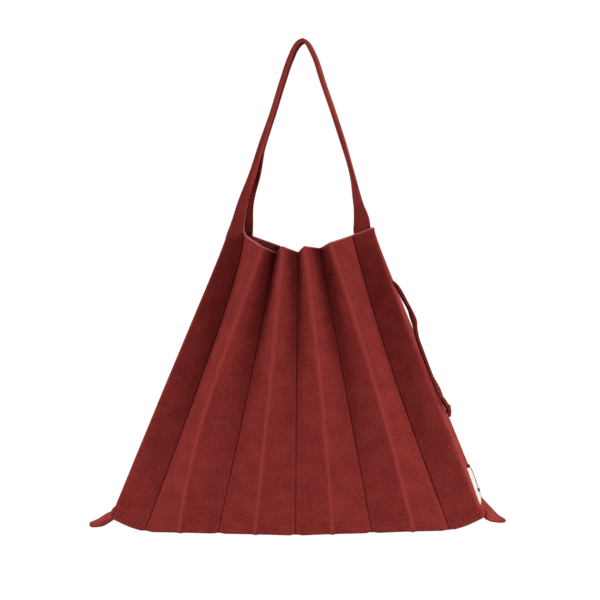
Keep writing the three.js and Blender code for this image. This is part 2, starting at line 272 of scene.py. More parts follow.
def ranged(tree, value, low, high, toLow, toHigh):
    node = tree.nodes.new("ShaderNodeMapRange")
    tree.links.new(value, node.inputs["Value"])
    for label, number in (("From Min", low), ("From Max", high), ("To Min", toLow), ("To Max", toHigh)):
        node.inputs[label].default_value = number
    return node.outputs["Result"]


def newGroup(name, values, results):
    # takes the flat measure and some numbers, and gives numbers
    group = bpy.data.node_groups.new(name, "ShaderNodeTree")
    group.interface.new_socket("Flat", in_out="INPUT", socket_type="NodeSocketVector")
    for label, value in values.items():
        socket = group.interface.new_socket(label, in_out="INPUT", socket_type="NodeSocketFloat")
        socket.default_value = value
    for label in results:
        group.interface.new_socket(label, in_out="OUTPUT", socket_type="NodeSocketFloat")
    start = group.nodes.new("NodeGroupInput")
    end = group.nodes.new("NodeGroupOutput")
    return group, start.outputs, end.inputs


stitchSet = {
    "driftScale": 0.16, "driftDetail": 2,  # the stitches wander a little
    "whichScale": 0.018, "whichDetail": 1, "which": (0.47, 0.6),  # courses below, wales above
    "fadeScale": 0.05, "fadeDetail": 3, "fade": (0.36, 0.6), "leastFade": 0.3,  # both fade in patches
    "crossed": 0.35,  # how much the one direction cuts into the other
}


def stitchGroup():
    # knit stitches from a flat measure in millimetres
    sizes = {"Wale": 2.2, "Course": 2.8, "Slant": 0.3, "Wobble": 0.35}
    group, given, out = newGroup("knitStitch", sizes, ("Height", "Shade"))

    def calc(operation, *values):
        return mathNode(group, operation, *values)

    def cloud(kind):
        noise = group.nodes.new("ShaderNodeTexNoise")
        noise.inputs["Scale"].default_value = stitchSet[kind + "Scale"]
        noise.inputs["Detail"].default_value = stitchSet[kind + "Detail"]
        group.links.new(given["Flat"], noise.inputs["Vector"])
        return noise.outputs["Fac"]

    split = group.nodes.new("ShaderNodeSeparateXYZ")
    group.links.new(given["Flat"], split.inputs[0])
    drift = calc("MULTIPLY", calc("SUBTRACT", cloud("drift"), 0.5), given["Wobble"])
    wale = calc("ADD", calc("DIVIDE", split.outputs["X"], given["Wale"]), drift)
    inWale = calc("ABSOLUTE", calc("SUBTRACT", calc("FRACT", wale), 0.5))
    slant = calc("MULTIPLY", calc("MULTIPLY", inWale, 2.0), given["Slant"])
    course = calc("DIVIDE", split.outputs["Y"], given["Course"])
    course = calc("ADD", calc("ADD", course, slant), drift)
    legs = calc("SINE", calc("MULTIPLY", inWale, 2 * math.pi))
    loops = calc("SINE", calc("MULTIPLY", calc("FRACT", course), math.pi))
    crossed = stitchSet["crossed"]
    rowsShow = calc("MULTIPLY", loops, calc("MULTIPLY_ADD", legs, crossed, 1 - crossed))
    walesShow = calc("MULTIPLY", legs, calc("MULTIPLY_ADD", loops, crossed, 1 - crossed))
    which = ranged(group, cloud("which"), *stitchSet["which"], 0.0, 1.0)
    kept = calc("MULTIPLY", rowsShow, calc("SUBTRACT", 1.0, which))
    height = calc("MULTIPLY_ADD", walesShow, which, kept)
    fade = ranged(group, cloud("fade"), *stitchSet["fade"], stitchSet["leastFade"], 1.0)
    hidden = calc("MULTIPLY", calc("SUBTRACT", 1.0, height), fade)
    group.links.new(height, out["Height"])
    group.links.new(calc("SUBTRACT", 1.0, hidden), out["Shade"])
    return group


def mottleGroup():
    # uneven dye and rubbed fluff, slow and fine
    group, given, out = newGroup("yarnMottle", {"Slow": 0.018, "Fine": 0.45}, ("Slow", "Fine"))
    for label, detail in (("Slow", 3), ("Fine", 2)):
        noise = group.nodes.new("ShaderNodeTexNoise")
        noise.inputs["Detail"].default_value = detail
        group.links.new(given["Flat"], noise.inputs["Vector"])
        group.links.new(given[label], noise.inputs["Scale"])
        group.links.new(noise.outputs["Fac"], out[label])
    return group


knitStitch = stitchGroup()
yarnMottle = mottleGroup()


def placeGroup(tree, group, flat, values):
    node = tree.nodes.new("ShaderNodeGroup")
    node.node_tree = group
    tree.links.new(flat, node.inputs["Flat"])
    for label, value in values.items():
        node.inputs[label].default_value = value
    return node.outputs


def knitMaterial(name, finish):
    material = bpy.data.materials.new(name)
    material.use_nodes = True
    tree = material.node_tree
    shader = tree.nodes["Principled BSDF"]
    measure = tree.nodes.new("ShaderNodeUVMap")
    measure.uv_map = "knit"
    flat = measure.outputs["UV"]
    stitch = placeGroup(tree, knitStitch, flat, {
        label: finish[label.lower()] for label in ("Wale", "Course", "Slant", "Wobble")})
    mottle = placeGroup(tree, yarnMottle, flat, {})
    dye = ranged(tree, mottle["Slow"], *finish["dyeRange"], 0.0, 1.0)
    tone = mixColour(tree, dye, finish["deep"], finish["light"])
    fluff = ranged(tree, mottle["Fine"], *finish["fluffRange"], 0.0, finish["fluffAmount"])
    tone = mixColour(tree, fluff, tone, finish["fluff"])
    gaps = ranged(tree, stitch["Shade"], *finish["gapRange"], finish["gapAmount"], 0.0)
    tone = mixColour(tree, gaps, tone, finish["gap"])
    # painted light from the fold attribute: painted highlight lightens towards the fluff colour where it is
    # above 0, painted shade darkens towards the gap colour where it is below 0
    paintedLightAttribute = tree.nodes.new("ShaderNodeAttribute")
    paintedLightAttribute.attribute_name = "fold"
    ridgeHighlightAmount = ranged(tree, paintedLightAttribute.outputs["Fac"], 0.0, 1.0, 0.0, finish["ridgeHighlight"])
    tone = mixColour(tree, ridgeHighlightAmount, tone, finish["fluff"])
    creaseShadeAmount = ranged(tree, paintedLightAttribute.outputs["Fac"], 0.0, -1.0, 0.0, finish["creaseShade"])
    tone = mixColour(tree, creaseShadeAmount, tone, finish["gap"])
    tree.links.new(tone, shader.inputs["Base Color"])
    rough = ranged(tree, mottle["Fine"], *finish["roughRange"], *finish["rough"])
    tree.links.new(rough, shader.inputs["Roughness"])
    bump = tree.nodes.new("ShaderNodeBump")
    bump.inputs["Strength"].default_value = finish["bump"]
    bump.inputs["Distance"].default_value = finish["bumpDepth"] * mm
    tree.links.new(stitch["Height"], bump.inputs["Height"])
    tree.links.new(bump.outputs["Normal"], shader.inputs["Normal"])
    shader.inputs["Specular IOR Level"].default_value = finish["gloss"]
    shader.inputs["Sheen Weight"].default_value = finish["sheen"]
    shader.inputs["Sheen Roughness"].default_value = finish["sheenRough"]
    shader.inputs["Sheen Tint"].default_value = finish["sheenTint"]
    return material


bagFinish = {
    "deep": (0.212, 0.0232, 0.0201, 1), "light": (0.238, 0.0266, 0.0232, 1), "dyeRange": (0.3, 0.7),
    # the fluff colour is real fluff and also the painted highlight on ridges; the gap colour is real stitch
    # gaps and also the painted shade in creases
    "fluff": (0.31, 0.043, 0.038, 1), "fluffAmount": 0.65, "fluffRange": (0.42, 0.68),
    "gap": (0.085, 0.008, 0.0075, 1), "gapAmount": 0.74, "gapRange": (0.0, 0.85),
    "ridgeHighlight": 0.68, "creaseShade": 0.45,  # how much the painted highlight lightens ridges and the painted shade darkens creases
    "wale": 2.6, "course": 3.05, "slant": 0.25, "wobble": 0.9,
    "rough": (0.87, 0.97), "roughRange": (0.2, 0.8), "gloss": 0.04, "bump": 0.5, "bumpDepth": 0.5,
    "sheen": 0.06, "sheenRough": 0.55, "sheenTint": (0.9, 0.2, 0.17, 1),
}
hemFinish = {
    **bagFinish,
    "deep": (0.40, 0.115, 0.10, 1), "light": (0.50, 0.16, 0.14, 1), "fluff": (0.6, 0.25, 0.22, 1),
    "gapAmount": 0.3, "wale": 1.2, "course": 1.6, "slant": 0.0,
}
tieFinish = {
    **bagFinish,
    "deep": (0.115, 0.0135, 0.0125, 1), "light": (0.155, 0.019, 0.0175, 1),
    "wale": 1.7, "course": 1.9, "slant": 0.6, "wobble": 0.2,
}
wallKnit = knitMaterial("wallKnit", bagFinish)
bandKnit = knitMaterial("bandKnit", {**bagFinish, "course": 2.4, "slant": 0.1})
earKnit = knitMaterial("earKnit", {**bagFinish, "wale": 2.0, "course": 2.4, "gapAmount": 0.3})
hemKnit = knitMaterial("hemKnit", hemFinish)
tieKnit = knitMaterial("tieKnit", tieFinish)
labelWeave = knitMaterial("labelWeave", {
    **bagFinish,
    "deep": (0.62, 0.55, 0.51, 1), "light": (0.68, 0.62, 0.58, 1), "fluff": (0.74, 0.69, 0.65, 1),
    "gap": (0.42, 0.36, 0.33, 1), "gapAmount": 0.35,
    "wale": 0.5, "course": 0.7, "slant": 0.0, "wobble": 0.1, "bumpDepth": 0.2,
})
tackThread = knitMaterial("tackThread", {
    **bagFinish,
    "deep": (0.012, 0.012, 0.013, 1), "light": (0.02, 0.02, 0.022, 1), "fluff": (0.04, 0.04, 0.042, 1),
    "gap": (0.004, 0.004, 0.004, 1), "wale": 0.4, "course": 0.5, "slant": 0.8,
})
print("knit finishes made")

# the pleated ring of walls, in millimetres

wallSet = {
    "knit": 2.2,
    "band": 14,  # ribbed band at the foot
    "intoBand": 1 / 150,  # the walls run on a little inside it, as a share of their height
    "backTuck": 5,
    "bellyEdge": 0.64,  # squared share of the half width where the belly adds nothing
    "rows": 118,
    "joint": 5,  # columns in half a fold
    "flat": 13,  # columns on a panel between its folds
    "foldRadius": 0.7, "foldArm": 1.1, "cornerArm": 3.0, "sideArm": 60.0,  # least length that a fold rounds
    "longestArm": 0.42,  # and the most, as a share of the panel
    "ridgeWelt": 0.6, "ridgeWidth": 1.6,
    "valleyCut": 0.6, "valleyWidth": 1.0, "valleyLip": 0.3,
    "lipAt": 2.6,  # a valley's lips stand this many widths from it
    "ridgeHighlightWidth": 1.7, "valleyShadeWidth": 0.9, "lipHighlight": 0.55,  # widths of the painted highlight on ridges and the painted shade in valleys, and strength of the painted highlight beside valleys
}
pleatColumns = ("out", "mouthX", "hemZ", "baseX", "baseZ", "bow", "bowAt", "backLift")
pleatRows = [  # front folds, left to right; out is above 0 on a ridge, below in a valley, 0 on a corner
    (0, -85.7, -222, -216.6, -546, 2.6, 0.25, 0),
    (-1, -67, -222, -177, -561, 8, 0.28, 0),
    (1, -39, -236, -135.5, -560, -10, 0.6, 3),
    (-0.9, -26.5, -243, -92, -561.5, 1.5, 0.5, 1),
    (0.75, -15.5, -236, -48, -560.8, 1.5, 0.5, -4),
    (-0.5, 0.5, -243, -2.4, -562.3, 0, 0.5, -8),
    (0.75, 9.5, -236, 40.5, -559.5, 3, 0.5, -8),
    (-0.9, 23.5, -238, 84.4, -558.8, 0, 0.5, -7),
    (1, 38, -232, 132, -555.6, 4, 0.5, -5),
    (-1, 58.5, -223, 171.5, -555.5, -5.6, 0.45, -2),
    (0, 84, -214, 208.2, -541.5, -3, 0.22, 0),
]
pleats = [dict(zip(pleatColumns, row)) for row in pleatRows]
levels = [  # mouth to base: wall's middle, pleat from valley to ridge, corner, side's outward lean, belly
    (32, 30, 26, -3.5, 34),
    (38, 28, 38, -4.4, 30),
    (42, 21, 43, -0.5, 24),
    (45, 16, 44, 2.6, 18),
    (48, 11, 44, 1, 10),
]


def backFold(index):
    fold = pleats[index]
    tuck = wallSet["backTuck"]
    return {
        **fold,
        "side": 1,
        "mouthX": fold["mouthX"] + tuck - 2 * tuck * index / (len(pleats) - 1),
        "hemZ": fold["hemZ"] + fold["backLift"],
    }


def sideFold(corner, way):
    return {**corner, "side": 0, "out": 0, "mouthX": corner["mouthX"] - way * wallSet["backTuck"] / 2}


lastFold = len(pleats) - 1
ringFolds = (
    [{**fold, "side": -1} for fold in pleats]
    + [sideFold(pleats[lastFold], 1)]
    + [backFold(index) for index in range(lastFold, -1, -1)]
    + [sideFold(pleats[0], -1)]
)
panelsOf = {  # panel numbers round the ring; panel n runs from fold n to fold n + 1
    "front_knit": (1, lastFold - 1),
    "right_knit": (lastFold, lastFold + 1),
    "back_knit": (lastFold + 2, 2 * lastFold),
}


def foldPath(fold, share):
    share = np.asarray(share, float)
    wall, pleat, corner, lean, belly = smoothThrough(levels, share).T
    x = fold["mouthX"] + (fold["baseX"] - fold["mouthX"]) * share
    z = fold["hemZ"] + (fold["baseZ"] - fold["hemZ"]) * share
    if fold["side"] == 0:
        return np.stack([x + np.sign(x) * lean, 0 * x, z], axis=-1)
    bow = fold["bow"] * np.sin(np.pi * share ** (math.log(0.5) / math.log(fold["bowAt"])))
    edge = pleats[0] if fold["mouthX"] < 0 else pleats[-1]
    across = x / (edge["mouthX"] + (edge["baseX"] - edge["mouthX"]) * share)
    wall = wall + belly * (wallSet["bellyEdge"] - across**2)
    depth = corner if fold["out"] == 0 else wall + fold["out"] * pleat / 2
    return np.stack([x + bow, fold["side"] * depth, z], axis=-1)


def bandShare(fold):
    return 1 - wallSet["band"] / (fold["hemZ"] - fold["baseZ"])


def leastArm(fold):
    if fold["side"] == 0:
        return wallSet["sideArm"]
    return wallSet["cornerArm"] if fold["out"] == 0 else wallSet["foldArm"]


smallestArm = np.array([leastArm(fold) for fold in ringFolds])
ringOuts = np.array([fold["out"] for fold in ringFolds], float)[None, :, None]


def roundedPanels(tips, joint, share):
    # panels of a closed ring of folds, each fold rounded: (rows, folds, columns, 3)
    toBefore = np.roll(tips, 1, axis=1) - tips
    toAfter = np.roll(tips, -1, axis=1) - tips
    lengths = np.minimum(np.linalg.norm(toBefore, axis=-1), np.linalg.norm(toAfter, axis=-1))
    before, after = unit(toBefore), unit(toAfter)
    cosine = np.sum(before * after, axis=-1)
    arm = wallSet["foldRadius"] * np.sqrt((1 + cosine) / 2) / np.maximum(0.02, (1 - cosine) / 2)
    arm = np.minimum(np.maximum(arm, smallestArm), wallSet["longestArm"] * lengths)[..., None]
    start, end = tips + before * arm, tips + after * arm

    def bend(t):
        t = t[:, None]
        toTip = (1 - t)**2 * start[:, :, None] + 2 * t * (1 - t) * tips[:, :, None]
        return toTip + t**2 * end[:, :, None]

    leaving = bend(np.linspace(0.5, 1, joint + 1))
    arriving = np.roll(bend(np.linspace(0, 0.5, joint + 1)), -1, axis=1)
    share = share[1:-1, None]
    straight = end[:, :, None] * (1 - share) + np.roll(start, -1, axis=1)[:, :, None] * share
    return np.concatenate([leaving, straight, arriving], axis=2)


def hump(distance, width):
    return np.exp(-(distance / width)**2)


def rampUp(values, start, steep):
    return np.clip((values - start) * steep, 0, 1)


def foldSides(panels):
    # both sides of each panel: which fold stands there, and the distance from it
    run = alongRows(panels)
    return (ringOuts, run), (np.roll(ringOuts, -1, axis=1), run[..., -1:] - run)


def foldRelief(panels):
    # raised welt on the ridges and a cut with soft lips in the valleys
    relief = 0
    width = wallSet["valleyWidth"]
    for out, distance in foldSides(panels):
        welt = wallSet["ridgeWelt"] * hump(distance, wallSet["ridgeWidth"])
        cut = wallSet["valleyCut"] * hump(distance, width)
        lip = wallSet["valleyLip"] * hump(distance - wallSet["lipAt"] * width, width)
        relief = relief + np.where(out > 0, welt, 0) + np.where(out < 0, lip - cut, 0)
    return relief


def foldHighlightAndShade(panels):
    # painted light at the folds: painted highlight on a ridge (1), painted shade in a valley (-1), and a
    # faint painted highlight beside the valley
    paintedLight = 0
    width = wallSet["valleyShadeWidth"]
    for out, distance in foldSides(panels):
        ridgeHighlightMask = hump(distance, wallSet["ridgeHighlightWidth"])
        lip = wallSet["lipHighlight"] * hump(distance - wallSet["lipAt"] * width, width)
        paintedLight = paintedLight + np.where(out > 0, ridgeHighlightMask, 0) + np.where(out < 0, lip - hump(distance, width), 0)
    return np.clip(paintedLight, -1, 1)


handSet = {
    "depth": 0.45, "long": 31, "longShift": 1.7,
    "short": 13, "shortShift": 2.3, "shortShare": 0.6, "skew": 4,
}


def handOfCloth(panels):
    # slow unevenness of soft knit, none at the folds
    run = alongRows(panels)
    share = run / run[..., -1:]
    z = panels[..., 2]
    number = np.arange(panels.shape[1])[None, :, None]
    slow = np.sin(z / handSet["long"] + handSet["longShift"] * number)
    quick = np.sin(z / handSet["short"] + handSet["shortShift"] * number + handSet["skew"] * share)
    return handSet["depth"] * (slow + handSet["shortShare"] * quick) * np.sin(np.pi * share)


def joinPanels(panels):
    # drop the doubled column between neighbouring panels
    rows, count, columns = panels.shape[:3]
    return panels[:, :, :-1].reshape((rows, count * (columns - 1)) + panels.shape[3:])


def takePanels(ring, panels, first, last):
    per = panels.shape[2] - 1
    numbers = np.arange(first * per, (last + 1) * per + 1) % ring.shape[1]
    return ring[:, numbers]


along = np.linspace(0, 1, wallSet["rows"])
overlap = np.append(along, 1 + wallSet["intoBand"])
wallTips = np.stack([foldPath(fold, bandShare(fold) * overlap) for fold in ringFolds], axis=1)
closeToFolds = 0.5 - 0.5 * np.cos(np.pi * np.linspace(0, 1, wallSet["flat"] + 2))
wallPanels = roundedPanels(wallTips, wallSet["joint"], closeToFolds)
wallRing = joinPanels(wallPanels)
wallNormals = gridNormals(wallRing, closed=True)
wallMiddle = wallRing + wallNormals * joinPanels(handOfCloth(wallPanels))[..., None]
wallThick = wallSet["knit"] / 2 + joinPanels(foldRelief(wallPanels))
wallOuter = wallMiddle + wallNormals * wallThick[..., None]
wallInner = wallMiddle - wallNormals * wallSet["knit"] / 2
# painted highlight on the ridges and beside the valleys, painted shade in the valleys
wallHighlightAndShade = joinPanels(foldHighlightAndShade(wallPanels))
wallUv = panelUv(wallPanels)

# the front hem sweeps up into the strap's front lip
hemSweep = {"lift": 1.6, "rise": 5.6, "reach": 2.8, "fade": 26}
perPanel = wallPanels.shape[2] - 1
fromLip = alongRows(wallPanels[0, 1])
sweep = hemSweep["lift"] * (1 - fromLip / fromLip[-1])
sweep = sweep + hemSweep["rise"] * np.exp(-fromLip / hemSweep["reach"])
below = np.clip(1 - (wallPanels[0, 1, 0, 2] - wallPanels[:, 1, 0, 2]) / hemSweep["fade"], 0, 1)**2
for grid in (wallOuter, wallInner, wallMiddle):
    grid[:, perPanel:2 * perPanel + 1, 2] += below[:, None] * sweep
nodeOf = {"front_knit": "front_panel", "right_knit": "right_side", "back_knit": "back_panel"}
for pieceName, (firstPanel, lastPanel) in panelsOf.items():
    outer, inner, paintedLight, middle = (
        takePanels(ring, wallPanels, firstPanel, lastPanel)
        for ring in (wallOuter, wallInner, wallHighlightAndShade, wallMiddle))
    wallPiece = clothShell(pieceName, outer, inner, wallUv[:, firstPanel:lastPanel + 1], wallKnit, paintedLight)
    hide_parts(nodeOf[pieceName])
    declareSheet(middle)
print("pleated walls made")

# strap and left side in one run: from the right foot over the top, down the left leg into the left wall

strapSet = {
    "step": 4.0,
    "corner": 2.4, "bend": 2.0,  # lengths that its folds round
    "web": 0.8,  # the same in the middle of the web, as a share of its half width
    "longestArm": 0.48,  # and the most anywhere, as a share of the side
    "dense": 7,  # points in half a fold
    "guides": [0, 6, 12],  # wall rows that give the strap its direction where it joins
    "settle": 0.06,  # share of the wall below the hem over which its folds and waves start
    "ownNormals": 8,  # rows of the wall that keep the run's normals
    "edgeHighlight": 0.9, "edgeHighlightWidth": 0.25,  # the folded strap's outer edge gets a painted highlight
    "lipShade": 1.0, "lipRamp": (0.2, 6),  # and its closed lips get painted shade
    "shadeFrom": -112, "shadeTo": -78,  # heights between which the strap closes and its painted highlight and shade fade in
}
strapColumns = (
    "x", "z", "tilt", "half", "bow", "tuck", "rise", "riseTurn", "front", "back", "lipTurn", "backTurn")
rightLeg = [
    (88, -242, 176, 25, 6, 4.8, 8, 25, 9, 9, 25, 25),
    (79.2, -214, 171, 21, 5.6, 4.6, 7, 22, 14.4, 9, 22, 22),
    (77.6, -204, 168, 20, 4.6, 4, 6, 22, 13.6, 9, 24, 24),
    (69.8, -185, 166, 18, 3, 3, 4.5, 22, 7, 7, 30, 30),
    (58.4, -150, 164, 14.5, 1.6, 1.5, 2.2, 18, 6, 6, 75, 75),
    (47.6, -115, 162, 12.5, 0.6, 0.4, 2.8, 8, 8, 8, 86, 86),
]
leftLeg = [  # its back lip stands further open than the front one
    (-48.9, -115, 19, 13, 0.6, 0, 3.4, 8, 8, 8, 86, 86),
    (-60.1, -150, 18, 16, 1.6, 1, 3.2, 18, 6.5, 5, 62, 36),
    (-73.4, -185, 12, 20.5, 3.4, 2.5, 4.5, 25, 7.2, 5.8, 30, -26),
    (-80, -207, 4, 24.5, 5, 4, 6.5, 26, 8.4, 7.6, 26, -20),
]
folded = (12, 0.3, 0, 2.5, 5, 8.5, 8.5, 88, 88)  # section where the strap is closed, half and on
foldedPath = [  # x on the right, x on the left, z, tilt
    (35.9, 36.5, -80, 20),
    (23.8, 25.6, -45, 20),
    (14.2, 15.4, -16, 21),
    (8.6, 9.8, -4.5, 28),
    (4.6, 4.6, 1.6, 50),
]
strapTable = (
    rightLeg
    + [(right, z, 180 - tilt, *folded) for right, left, z, tilt in foldedPath]
    + [(1.2, 3.5, 96, *folded)]
    + [(-left, z, tilt, *folded) for right, left, z, tilt in reversed(foldedPath)]
    + leftLeg
)
strapRows = [dict(zip(strapColumns, row)) for row in strapTable]


def roundedLine(points, arms):
    # an open line with its corners rounded: dense points, and the number of each corner's middle
    points = np.asarray(points, float)
    line, middles = [points[0]], []
    for index in range(1, len(points) - 1):
        here = points[index]
        back, ahead = points[index - 1] - here, points[index + 1] - here
        shorter = min(np.linalg.norm(back), np.linalg.norm(ahead))
        arm = min(arms[index - 1], strapSet["longestArm"] * shorter)
        start, end = here + unit(back) * arm, here + unit(ahead) * arm
        for t in np.linspace(0, 1, 2 * strapSet["dense"] + 1):
            if abs(t - 0.5) < 1e-6:
                middles.append(len(line))
            line.append((1 - t)**2 * start + 2 * t * (1 - t) * here + t**2 * end)
    line.append(points[-1])
    return np.array(line), middles


def resampled(line, shares):
    length = alongRows(line)
    return np.stack([np.interp(shares * length[-1], length, column) for column in line.T], axis=-1)


def strapSection(row, shares):
    # the channel's section as four panels: back lip, back half of the web, front half, front lip
    def edge(side, lip, lipTurn):
        corner = np.array([row["tuck"] if side > 0 else 0.0, side * row["half"]])
        rise, turn = math.radians(row["riseTurn"]), math.radians(lipTurn)
        bend = corner + row["rise"] * np.array([math.cos(rise), -side * math.sin(rise)])
        tip = bend + lip * np.array([math.cos(turn), -side * math.sin(turn)])
        return [tip, bend, corner]

    backEdge = edge(1, row["back"], row["backTurn"])
    frontEdge = edge(-1, row["front"], row["lipTurn"])
    points = backEdge + [np.array([row["bow"], 0.0])] + frontEdge[::-1]
    corner, bend = strapSet["corner"], strapSet["bend"]
    line, middles = roundedLine(points, [bend, corner, strapSet["web"] * row["half"], corner, bend])
    cuts = [0, *middles[1:4], len(line) - 1]
    flat = np.stack([resampled(line[cuts[k]:cuts[k + 1] + 1], shares[k]) for k in range(4)])
    tilt = math.radians(row["tilt"])
    x = row["x"] + flat[..., 0] * math.cos(tilt)
    z = row["z"] - flat[..., 0] * math.sin(tilt)
    return np.stack([x, flat[..., 1], z], axis=-1)


runPanels = [2 * lastFold + 1, 2 * lastFold + 2, 2 * lastFold + 3, 0]
wallRun = wallPanels[:, runPanels]
hemRun = alongRows(wallRun[0])
hemShares = hemRun / hemRun[:, -1:]
strapGrid = np.stack([strapSection(row, hemShares) for row in strapRows])
guides = np.concatenate([strapGrid, wallRun[strapSet["guides"]]])
guideKnots = alongRows(guides.mean(axis=(1, 2)))
hemKnot = guideKnots[len(strapGrid)]
strapKnots = np.linspace(0, hemKnot, int(hemKnot / strapSet["step"]))
strapFine = spacedThrough(guides, guideKnots, strapKnots)
runGrid = np.concatenate([strapFine[:-1], wallRun])
strapCount = len(strapFine) - 1


def flatRun(panels):
    # the run's panels side by side, keeping its last column
    return np.concatenate([joinPanels(panels), panels[:, -1, -1:]], axis=1)


runMiddle = flatRun(runGrid)
runNormals = gridNormals(runMiddle, closed=False)
fromHem = np.clip(np.append(along, 1.0) / strapSet["settle"], 0, 1)[:, None]
blank = np.zeros((strapCount, runMiddle.shape[1]))


def runLayer(layer):
    wallPart = flatRun(layer[:, runPanels][..., None])[..., 0]
    return np.concatenate([blank, wallPart * fromHem])


runRelief, runHand, runHighlightAndShade = (
    runLayer(layer(wallPanels)) for layer in (foldRelief, handOfCloth, foldHighlightAndShade))
fromEdge = hemShares[-1]  # 0 on the edge that shows from the front, 1 at the end of the lip behind it
# painted highlight along the strap's outer edge and web, painted shade on its closed lips
edgeHighlightAndShade = strapSet["edgeHighlight"] * hump(fromEdge, strapSet["edgeHighlightWidth"])
edgeHighlightAndShade = edgeHighlightAndShade - strapSet["lipShade"] * rampUp(fromEdge, *strapSet["lipRamp"])
sectionHighlightAndShade = np.concatenate([edgeHighlightAndShade[:0:-1], strapSet["edgeHighlight"] * np.ones(2 * perPanel), edgeHighlightAndShade])
closed = np.interp(runMiddle[:strapCount, :, 2], (strapSet["shadeFrom"], strapSet["shadeTo"]), (0, 1))
runHighlightAndShade[:strapCount] = closed * sectionHighlightAndShade
wallSide = takePanels(wallNormals, wallPanels, runPanels[0], runPanels[0] + 3)
ownNormals = strapSet["ownNormals"]
runNormals[strapCount + ownNormals:] = wallSide[ownNormals:]
runMiddle = runMiddle + runNormals * runHand[..., None]
runOuter = runMiddle + runNormals * (wallSet["knit"] / 2 + runRelief)[..., None]
runInner = runMiddle - runNormals * wallSet["knit"] / 2
leftRun = clothShell("strap_knit", runOuter, runInner, panelUv(runGrid), wallKnit, runHighlightAndShade)
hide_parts("strap", "left_side")
declareSheet(runMiddle)
print("strap and left side made")

# one rolled edge: down the strap's front lip, round the mouth and up the back lip

hemSet = {
    "radius": 1.2, "sides": 10,
    "lipTop": -150, "lipFoot": 1,  # the strap's lips are rolled from just above the mouth to this height
    "taper": 70, "thinnest": 0.15,
}


def makeHem():
    mouth = takePanels(wallMiddle, wallPanels, 1, 2 * lastFold)[0]
    rows = np.arange(len(runMiddle))
    leftLegRows = (rows > strapCount / 2) & (rows <= strapCount)

    def lip(column, mouthEnd):
        line = runMiddle[leftLegRows, column]
        return line[(line[:, 2] < hemSet["lipTop"]) & (line[:, 2] > mouthEnd[2] + hemSet["lipFoot"])]

    path = np.concatenate([lip(-1, mouth[0]), mouth, lip(0, mouth[-1])[::-1]])
    length = alongRows(path)
    fromEnd = np.minimum(length, length[-1] - length)
    thin = np.clip(fromEnd / hemSet["taper"], hemSet["thinnest"], 1)[:, None]
    lift = hemSet["radius"] * (thin - 1)
    roll = roundTube("mouth_roll", path, hemSet["radius"], hemSet["sides"], hemKnit, lift)


makeHem()
print("hem rolled")

# ribbed band turned under into the base

baseSet = {
    "joint": 6, "flat": 56, "rows": 26,
    "rib": 3.4, "ribHeight": 0.4, "ribStart": 5,
    "notch": 4.6, "notchWidth": 3.4, "notchTop": 5,  # the valleys notch the bottom edge
    "ridgeDip": 0.5,  # and the ridges dip a little
    "sag": 1.7, "sagPanels": (0, 9, 12, 21),  # the bottom edge rounds down beside the corners
    "foldShare": 0.8,  # how much of the walls' fold relief stays here
    "underEdgeShade": 0.8, "turnTop": 2.2,  # painted shade darkens the edge that turns under
    # share of depth where each of these starts, and how fast
    "edgeRamp": (0.85, 12), "ribRamp": (0.85, 8), "foldRamp": (0.86, 10),
}
baseRows = [  # blend from the band's top to its foot, share of depth, share of length, height
    (0.0, 1.0, 1.0, 12.9),
    (0.6, 1.0, 1.0, 9.0),
    (0.92, 1.0, 1.0, 5.6),
    (1.0, 1.0, 1.0, 3.2),
    (1.0, 0.992, 0.999, 1.4),
    (1.0, 0.965, 0.996, 0.35),
    (1.0, 0.91, 0.988, 0.0),
    (1.0, 0.5, 0.987, 0.3),
    (1.0, 0.0, 0.987, 0.8),
]


